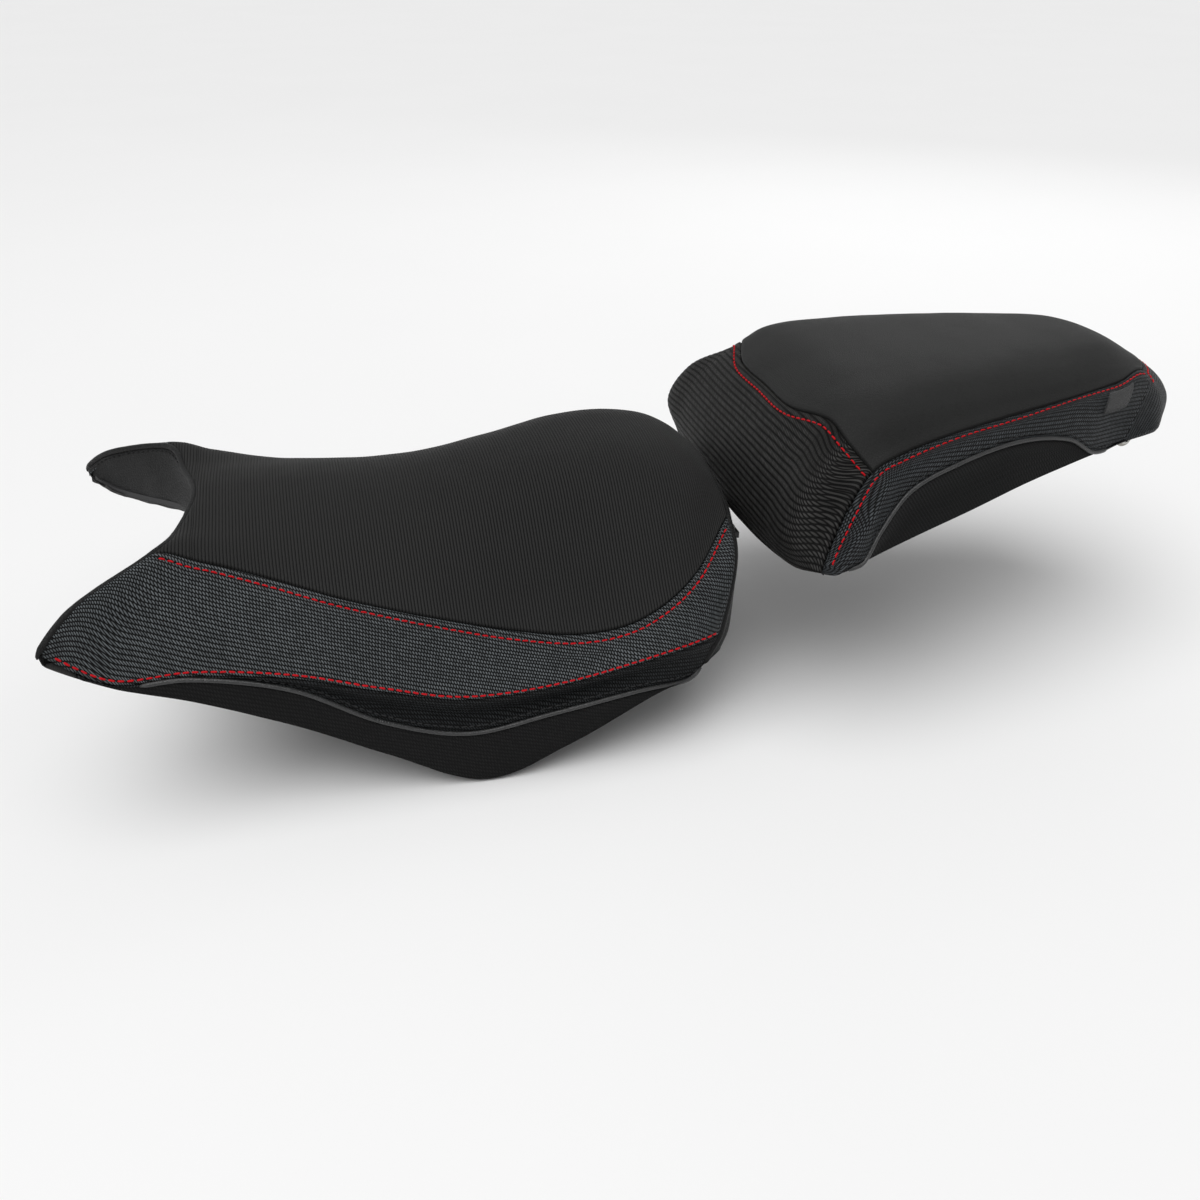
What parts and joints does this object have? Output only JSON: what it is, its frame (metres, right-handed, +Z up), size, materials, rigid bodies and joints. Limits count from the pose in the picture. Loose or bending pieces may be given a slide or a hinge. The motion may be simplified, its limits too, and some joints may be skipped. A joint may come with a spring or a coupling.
{
  "type": "motorcycle seat set",
  "caption": "Two-piece sport motorcycle seat: a rider saddle with tank horns and a drooping skirt, and a raised pillion pad that lifts off behind it.",
  "frame": {"origin": "midway between the rider seat's two rear mounting holes, at the middle of the tab", "axes": "+X rearward along the motorcycle, +Y to the motorcycle's right, +Z up"},
  "size_m": [0.6924, 0.2792, 0.1918],
  "materials": {
    "ribbed_vinyl": "fine lateral ribs, matt",
    "smooth_vinyl": "smooth, matt",
    "carbon_look_vinyl": "embossed weave, satin",
    "fine_rib_vinyl": "fine ribs, matt",
    "grained_leather": "fine grain, semi-matt",
    "welt_piping": "satin",
    "cover_hem": "woven backing",
    "seat_foam": "open-cell foam",
    "pan_plastic": "moulded, textured",
    "damper_rubber": "matt",
    "sleeve_nylon": "natural nylon",
    "tag_cloth": "blank woven tag",
    "staple_wire": "bright",
    "zinc_steel": "zinc plated"
  },
  "bodies": {
    "rider_seat": {"rider_accent_band_left": "fine_rib_vinyl", "rider_accent_band_right": "fine_rib_vinyl", "rider_base_pan": "pan_plastic", "rider_foam_pad": "seat_foam", "rider_front_panel": "grained_leather", "rider_front_tongue": "zinc_steel", "rider_hem_front": "cover_hem", "rider_hem_left": "cover_hem", "rider_hem_rear": "cover_hem", "rider_hem_right": "cover_hem", "rider_mount_collars": "zinc_steel", "rider_rear_panel": "grained_leather", "rider_rubber_dampers": "damper_rubber", "rider_side_panel_left": "carbon_look_vinyl", "rider_side_panel_right": "carbon_look_vinyl", "rider_skirt_left": "grained_leather", "rider_skirt_right": "grained_leather", "rider_staples": "staple_wire", "rider_top_panel": "ribbed_vinyl", "rider_welt_left": "welt_piping", "rider_welt_right": "welt_piping", "tongue_rivets": "zinc_steel"},
    "hook_sleeves": {"rear_hook_sleeves": "sleeve_nylon"},
    "pillion_seat": {"hook_bracket_rivets": "zinc_steel", "pillion_base_pan": "pan_plastic", "pillion_blank_tags": "tag_cloth", "pillion_foam_pad": "seat_foam", "pillion_front_panel": "carbon_look_vinyl", "pillion_hem_front": "cover_hem", "pillion_hem_left": "cover_hem", "pillion_hem_rear": "cover_hem", "pillion_hem_right": "cover_hem", "pillion_rubber_dampers": "damper_rubber", "pillion_side_bolster_left": "carbon_look_vinyl", "pillion_side_bolster_right": "carbon_look_vinyl", "pillion_side_inset_left": "fine_rib_vinyl", "pillion_side_inset_right": "fine_rib_vinyl", "pillion_staples": "staple_wire", "pillion_striker": "zinc_steel", "pillion_striker_bolts": "zinc_steel", "pillion_striker_plate": "zinc_steel", "pillion_top_panel": "smooth_vinyl", "pillion_welt_left": "welt_piping", "pillion_welt_right": "welt_piping", "rear_hook_bracket": "zinc_steel", "rear_hook_rod": "zinc_steel"}
  },
  "joints": [
    {"name": "pillion_lift_off", "type": "slide", "parent": "rider_seat", "child": "hook_sleeves", "axis": [0, 0, 1], "range_m": [0, 0.25]},
    {"name": "pillion_tilt", "type": "hinge", "parent": "hook_sleeves", "child": "pillion_seat", "pos_m": [0.274, 0, 0.04], "axis": [0, 1, 0], "range_deg": [0, 35]}
  ]
}
